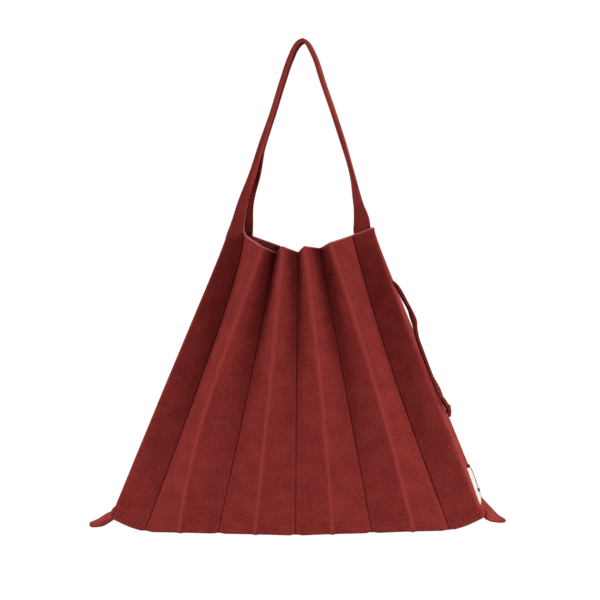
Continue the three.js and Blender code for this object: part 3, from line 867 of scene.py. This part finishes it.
def makeBase():
    table = smoothThrough(baseRows, np.linspace(0, 1, baseSet["rows"]))
    blend, depth, length, height = (table[:, column, None, None] for column in range(4))
    blend = np.clip(blend, 0, 1)
    top = np.stack([foldPath(fold, np.array([bandShare(fold)])) for fold in ringFolds], axis=1)
    foot = np.stack([foldPath(fold, np.array([1.0])) for fold in ringFolds], axis=1)
    even = np.clip(1 - height / height[0], 0, 1)
    toFoot = np.where(ringOuts == 0, blend, even)
    tips = top * (1 - toFoot) + foot * toFoot
    tips = tips * np.concatenate([length, np.maximum(depth, 0.001), np.ones_like(depth)], axis=2)
    tips[..., 2] = foot[..., 2] + wallSet["knit"] / 2 + height[..., 0]
    panels = roundedPanels(tips, baseSet["joint"], np.linspace(0, 1, baseSet["flat"] + 2))
    sides = foldSides(panels)
    run = alongRows(panels)
    share = run / np.maximum(run[..., -1:], 1e-6)
    sagging = np.isin(np.arange(len(ringFolds)), baseSet["sagPanels"])[None, :, None]
    panels[..., 2] -= baseSet["sag"] * np.sin(np.pi * share) * blend * sagging
    onEdge, onRibs, onFolds = (
        rampUp(depth, *baseSet[ramp]) for ramp in ("edgeRamp", "ribRamp", "foldRamp"))
    low = np.clip(1 - height / baseSet["notchTop"], 0, 1) * onEdge
    for out, distance in sides:
        pull = np.where(out < 0, baseSet["notch"], np.where(out > 0, -baseSet["ridgeDip"], 0))
        panels[..., 2] += low * hump(distance, baseSet["notchWidth"]) * pull
    count = np.maximum(2, np.round(run[baseSet["rows"] // 3, :, -1] / baseSet["rib"]))
    waves = 0.5 - 0.5 * np.cos(2 * np.pi * count[None, :, None] * share)
    ribs = baseSet["ribHeight"] * waves * rampUp(even, 0, baseSet["ribStart"]) * onRibs
    relief = baseSet["foldShare"] * foldRelief(panels) * onFolds
    # painted shade on the edge that turns under, added to the folds' painted highlight and shade
    turned = np.clip(1 - height / baseSet["turnTop"], 0, 1) * onEdge
    paintedLight = foldHighlightAndShade(panels) * onFolds - baseSet["underEdgeShade"] * turned

    def closeRing(ring):
        return np.concatenate([ring, ring[:, :1]], axis=1)

    ring = joinPanels(panels)
    normals = closeRing(gridNormals(ring, closed=True))
    middle = closeRing(ring)
    lift = closeRing(joinPanels(ribs + relief))[..., None] + wallSet["knit"] / 2
    piece = clothShell(
        "base_knit", middle + normals * lift, middle - normals * wallSet["knit"] / 2,
        panelUv(panels), bandKnit, closeRing(joinPanels(np.clip(paintedLight, -1, 1))))
    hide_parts("base")
    declareSheet(middle)


makeBase()
print("ribbed base made")

# ears: the corners of the bottom fold, pressed out into tongues

earSet = {
    "rows": 52, "sides": 96, "crease": 0.14, "creaseSharp": 8,
    "streaks": 9, "streakDepth": 0.35, "leastDepth": 6,
    "skew": 0.6, "skewReach": 8,  # the root is deeper low down, where nothing lies over it
    "tip": ((0.86, 0.6), (0.55, 1.1), (0.0, 1.35)),  # share of the last row left, and reach past it
    "tipDrop": 0.1,
    # widths and strengths of the painted shade along the rims and at the tip, and of the painted highlight
    # on the faces
    "rim": 0.45, "lowRimShade": 0.8, "tipShadeWidth": 2.6, "faceHighlight": 0.54, "rimShade": 1.3,
}
ears = {  # reach, drop, half depth and half height; rows of negative reach are tucked in the wall
    "left_ear": {"side": -1, "rootX": -219.1, "rootZ": -541.5, "rows": [
        (-9, -3, 33, 5), (-4.5, -1, 33, 5.2), (0, 0.8, 32, 6.2), (4.6, 4, 29, 6.2), (8.9, 6.5, 26, 6.8),
        (15.1, 10.1, 20, 6.7), (21.5, 12.8, 14, 5.3), (27.6, 14.4, 9, 4.1), (30.2, 14.7, 6, 3.1)]},
    "right_ear": {"side": 1, "rootX": 212.5, "rootZ": -537, "rows": [
        (-9.5, -13, 18, 6), (-4.5, -4, 22, 10.2), (0, 0, 27, 9.1), (3.4, 2.8, 26, 7.9),
        (6.8, 5.3, 21, 6.3), (11.8, 8, 14, 4.3), (16.4, 9.3, 9, 3), (18.4, 9.8, 6, 2.1)]},
}


def makeEar(node, ear):
    reach, drop, depth, height = smoothThrough(ear["rows"], np.linspace(0, 1, earSet["rows"])).T[..., None]
    turn = np.append(roundTurn(earSet["sides"]), 2 * np.pi)
    crease = 1 - earSet["crease"] * np.maximum(0, np.sin(turn))**earSet["creaseSharp"]
    onFace = np.cos(turn)**2
    streaks = np.cos(earSet["streaks"] * turn)
    streak = 1 + earSet["streakDepth"] * onFace * streaks / np.maximum(earSet["leastDepth"], depth)
    atRoot = np.clip(1 - reach / earSet["skewReach"], 0, 1)
    y = depth * np.cos(turn) * streak * (1 - earSet["skew"] * atRoot * np.sin(turn))
    z = ear["rootZ"] - drop + height * np.sin(turn) * crease
    x = ear["rootX"] + ear["side"] * reach + 0 * y
    grid = np.stack([x, y, z], axis=-1)
    root = np.broadcast_to(grid[0].mean(axis=0), grid[0].shape)
    middle = grid[-1].mean(axis=0)
    turned = [
        middle + (grid[-1] - middle) * left + np.array([ear["side"] * past, 0, -earSet["tipDrop"] * past])
        for left, past in earSet["tip"]]
    grid = np.concatenate([root[None], grid, turned])
    longest = ear["rows"][-1][0]
    along = np.concatenate([reach[:1, 0], reach[:, 0], [longest] * len(turned)])
    # painted shade along the top and bottom rims and at the tip, painted highlight on the faces along their
    # streaks
    toTip = hump(longest - along, earSet["tipShadeWidth"])
    rimShadeMask = hump(turn - np.pi / 2, earSet["rim"])
    rimShadeMask = rimShadeMask + earSet["lowRimShade"] * hump(turn - 3 * np.pi / 2, earSet["rim"])
    paintedLight = earSet["faceHighlight"] * (onFace * (1 + streaks))[None]
    paintedLight = paintedLight - earSet["rimShade"] * np.maximum(rimShadeMask[None], toTip[:, None])
    if ear["side"] > 0:
        grid, paintedLight = grid[:, ::-1], paintedLight[:, ::-1]
    rows, columns = grid.shape[:2]
    uv = panelUv(grid[:, None])[:, 0]
    faces = quadGrid(0, rows, columns, False)
    piece = meshPiece(
        node + "_knit", grid.reshape(-1, 3), faces, uv.reshape(-1, 2)[faces], earKnit, fold=paintedLight)
    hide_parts(node)


for earName, earShape in ears.items():
    makeEar(earName, earShape)
print("ears made")

# side tie: two knitted strands and the knot that joins them

tieSet = {
    "diameter": 4.6, "sides": 16, "step": 1.1, "routePoints": 60,
    "plait": 0.16, "plaits": 4, "plaitTurn": 1.9,
    "swells": [(-317, 9, 2.4), (-292, 7, 0.9)],  # height, half length and depth of the thick places
    "taper": 15, "thinnest": 0.25, "taperCurve": 0.7,  # the short strand thins towards its end
}
tieRoute = [
    (106.6, -5, -278.5), (110, -6, -282.5), (114.4, -8, -289.5), (119.6, -11, -299), (125.6, -15, -309.5),
    (130, -19, -319), (131.2, -23, -328), (133.6, -27, -339), (138.2, -31, -351), (143.4, -35, -364),
    (149.3, -38, -379), (154.5, -38, -392), (159.6, -34, -403), (164.4, -28, -410.2),
]
returnRoute = [
    (151.6, -19.6, -384), (154.6, -19.8, -390.5), (158, -20, -399.5), (161, -20.2, -407),
    (163.4, -20.6, -412),
]
knotSet = {
    "place": (167.8, -24.4, -414.2), "lean": 9, "sides": 12,
    "wraps": 3, "wrapPoints": 120, "ring": 1.5, "wrapTop": 1.925, "wrapFall": 2.275,
    "strand": 1.7, "tail": ((0.75, 0, -8.4), (0.2, 0, -13.1)), "tailPoints": 14,
    "coreRadius": 2.2, "core": ((0, 0, -0.4), (0, 0, -9.5)), "corePoints": 12,
}
seamPoint = (103, -4.4, -275.5)  # inside the side seam, where the long strand is sewn
knotPoint = (168.2, -24.6, -418)  # inside the knot


def strandPath(route):
    rough = smoothThrough(route, np.linspace(0, 1, tieSet["routePoints"] * len(route)))
    return resampled(rough, np.linspace(0, 1, int(alongRows(rough)[-1] / tieSet["step"])))


def makeStrand(node, route):
    path = strandPath(route)
    turn = roundTurn(tieSet["sides"])
    length = alongRows(path)[:, None]
    plait, twist = tieSet["plaits"] * turn, length * tieSet["plaitTurn"]
    lift = tieSet["plait"] * np.sin(plait + twist) * np.sin(plait - twist)
    if node == "side_tie":
        for height, half, depth in tieSet["swells"]:
            lift = lift + depth * hump(path[:, 2:] - height, half) * (0.5 - 0.5 * np.cos(turn))**2
    else:
        thin = np.clip(length / tieSet["taper"], tieSet["thinnest"], 1)**tieSet["taperCurve"]
        lift = lift - tieSet["diameter"] / 2 * (1 - thin)
    strand = roundTube(node + "_knit", path, tieSet["diameter"] / 2, tieSet["sides"], tieKnit, lift=lift)
    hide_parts(node)
    return strand, path


def makeKnot():
    # one strand wound round the other two, with a short tail below
    turns = np.linspace(0, knotSet["wraps"], knotSet["wrapPoints"])
    angle = 2 * np.pi * turns
    fall = knotSet["wrapTop"] + knotSet["wrapFall"] * turns
    helix = np.stack([knotSet["ring"] * np.cos(angle), knotSet["ring"] * np.sin(angle), -fall], axis=-1)
    parts = (
        ("tie_wraps", helix, knotSet["strand"]),
        ("tie_tail", np.linspace(*knotSet["tail"], knotSet["tailPoints"]), knotSet["strand"]),
        ("tie_core", np.linspace(*knotSet["core"], knotSet["corePoints"]), knotSet["coreRadius"]),
    )
    pieces = []
    lean = np.array(Matrix.Rotation(math.radians(-knotSet["lean"]), 3, "Y"))
    for name, path, radius in parts:
        placed = path @ lean.T + np.array(knotSet["place"])
        pieces.append(roundTube(name, placed, radius, knotSet["sides"], tieKnit))
    bpy.ops.object.select_all(action="DESELECT")
    for piece in pieces:
        piece.select_set(True)
    bpy.context.view_layer.objects.active = pieces[0]
    bpy.ops.object.join()
    knot = pieces[0]
    knot.name = "tie_knot_knit"
    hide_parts("tie_knot")
    return knot


tieKnot = makeKnot()
strands = {
    "side_tie": [seamPoint] + tieRoute + [knotPoint],
    "tie_return": returnRoute + [knotPoint],
}
for strandNode, strandRoute in strands.items():
    strandPiece, strandLine = makeStrand(strandNode, strandRoute)
print("side tie made")

# label: a woven tape on the right side wall, sewn along its front edge, with a bar tack at the top

labelSet = {
    "share": 0.89, "span": 0.05, "depth": 0.5, "clear": 2.2, "flare": 5.5, "tuck": 1.2,
    "width": 16, "thickness": 0.8, "bow": 0.5, "columns": 18, "rows": 44,
    "top": 20.5, "bottom": -24,  # ends of the sewn edge
    "topSlant": 1, "bottomSlant": 9,  # how far the free edge differs from them
    "tackLength": 7, "tackGap": 1.2, "tackRows": 3, "tackPoints": 9, "tackLift": 0.3, "tackSlope": 0.3,
    "tackColumn": 9, "tackRise": 2.4, "tackInset": 2, "thread": 0.8, "threadSides": 8,
    "edgeThread": 0.7, "edgeFrom": 3, "edgeTo": 34,  # rows between which the free edge is sewn
}


def labelAxes():
    share = labelSet["share"] + labelSet["span"] * np.array([-1, 0, 1])
    high, _, low = foldPath(ringFolds[lastFold + 1], share)
    corner = foldPath(ringFolds[lastFold], share)[1]
    up = unit(high - low)
    flare = math.radians(labelSet["flare"])
    across = np.array([math.sin(flare), math.cos(flare), 0])
    across = unit(across - up * np.dot(across, up))
    edge = corner * [1, labelSet["depth"], 1] + [wallSet["knit"] / 2 + labelSet["clear"], 0, 0]
    return edge, across, up, np.cross(across, up)


def makeTack(name, place, across, up, outward):
    # a bar tack: one thread to and fro, row under row
    rows, gap = labelSet["tackRows"], labelSet["tackGap"]
    at = np.linspace(-0.5, 0.5, labelSet["tackPoints"])[:, None]
    line = []
    for row in range(rows):
        reach = at * labelSet["tackLength"] * (-1)**row
        lift = labelSet["tackLift"] * np.cos(np.pi * at)
        drop = gap * (row - (rows - 1) / 2 + 2 * labelSet["tackSlope"] * at)
        line.append(place + across * reach + outward * lift - up * drop)
    stitch = roundTube(
        name, np.concatenate(line), labelSet["thread"], labelSet["threadSides"], tackThread)


def makeLabel():
    edge, across, up, outward = labelAxes()
    u = np.linspace(0, 1, labelSet["columns"])[None, :]
    v = np.linspace(0, 1, labelSet["rows"])[:, None]
    top = labelSet["top"] + labelSet["topSlant"] * u
    bottom = labelSet["bottom"] + labelSet["bottomSlant"] * u
    height = top + (bottom - top) * v
    stand = labelSet["bow"] * np.sin(np.pi * v) * u - labelSet["tuck"] * (1 - u)**3
    width = labelSet["width"] * u + 0 * v
    middle = edge + width[..., None] * across + height[..., None] * up + stand[..., None] * outward
    half = outward * labelSet["thickness"] / 2
    uv = np.stack(np.broadcast_arrays(width, height), axis=-1)[:, None]
    tape = clothShell("label_tape", middle + half, middle - half, uv, labelWeave)
    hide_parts("side_label")
    sewn = middle[labelSet["edgeFrom"]:labelSet["edgeTo"], -1] + half
    edgeStitch = roundTube(
        "label_edge_stitch", sewn, labelSet["edgeThread"], labelSet["threadSides"], tackThread)
    tacks = (  # middle of each bar tack
        middle[0, labelSet["tackColumn"]] + up * labelSet["tackRise"] / 2,
        middle[labelSet["edgeTo"], -1] - across * labelSet["tackInset"],
    )
    for number, place in enumerate(tacks):
        makeTack(f"label_tack_{number + 1}", place + outward * labelSet["thickness"], across, up, outward)


makeLabel()
print("label sewn on")

# stage: pale floor below the photo's view, white surroundings and soft lights all round

stageSet = {
    "floorZ": -0.80, "floorRadius": 1.05, "floorSides": 96,
    "floorColour": (0.82, 0.81, 0.80, 1), "floorRough": 0.8,
    "surround": 0.03,
    "lightSize": (0.6, 0.9), "lightDistance": 1.2,
    "aim": (0, 0, -0.36),
}
lights = [  # degrees round the bag from its front, towards its right, degrees up, and watts
    ("leftSoftbox", -70, 5, 10.1),
    ("leftFill", -30, 5, 1.9),
    ("rightSoftbox", 70, 5, 9.8),
    ("rightFill", 40, 5, 3.3),
    ("topSoftbox", 180, 80, 6),
    ("backRight", 128, 5, 9),
    ("backLeft", -128, 5, 8),
]


def makeFloor():
    mesh = bpy.data.meshes.new("floor")
    radius, z = stageSet["floorRadius"], stageSet["floorZ"]
    rim = [(radius * math.cos(a), radius * math.sin(a), z) for a in roundTurn(stageSet["floorSides"])]
    mesh.from_pydata(rim, [], [list(range(len(rim)))])
    floor = bpy.data.objects.new("floor", mesh)
    scene.collection.objects.link(floor)
    material = bpy.data.materials.new("floorPale")
    material.use_nodes = True
    shader = material.node_tree.nodes["Principled BSDF"]
    shader.inputs["Base Color"].default_value = stageSet["floorColour"]
    shader.inputs["Roughness"].default_value = stageSet["floorRough"]
    mesh.materials.append(material)


def lightStage():
    target = Vector(stageSet["aim"])
    for name, azimuth, elevation, watts in lights:
        turn, rise = math.radians(azimuth), math.radians(elevation)
        data = bpy.data.lights.new(name, "AREA")
        data.shape = "RECTANGLE"
        data.size, data.size_y = stageSet["lightSize"]
        data.energy = watts
        lamp = bpy.data.objects.new(name, data)
        way = Vector((math.sin(turn) * math.cos(rise), -math.cos(turn) * math.cos(rise), math.sin(rise)))
        lamp.location = target + way * stageSet["lightDistance"]
        lamp.rotation_euler = (target - lamp.location).to_track_quat("-Z", "Y").to_euler()
        lamp.visible_camera = False
        scene.collection.objects.link(lamp)
    world = bpy.data.worlds.new("whiteSurround")
    scene.world = world
    world.use_nodes = True
    tree = world.node_tree
    seen = tree.nodes["Background"]
    seen.inputs["Color"].default_value = (1, 1, 1, 1)
    seen.inputs["Strength"].default_value = 1.0
    glow = tree.nodes.new("ShaderNodeBackground")
    glow.inputs["Color"].default_value = (1, 1, 1, 1)
    glow.inputs["Strength"].default_value = stageSet["surround"]
    path = tree.nodes.new("ShaderNodeLightPath")
    mix = tree.nodes.new("ShaderNodeMixShader")
    tree.links.new(path.outputs["Is Camera Ray"], mix.inputs["Fac"])
    tree.links.new(glow.outputs[0], mix.inputs[1])
    tree.links.new(seen.outputs[0], mix.inputs[2])
    tree.links.new(mix.outputs[0], tree.nodes["World Output"].inputs["Surface"])
    scene.view_settings.view_transform = "Standard"


makeFloor()
lightStage()
print("stage lit")
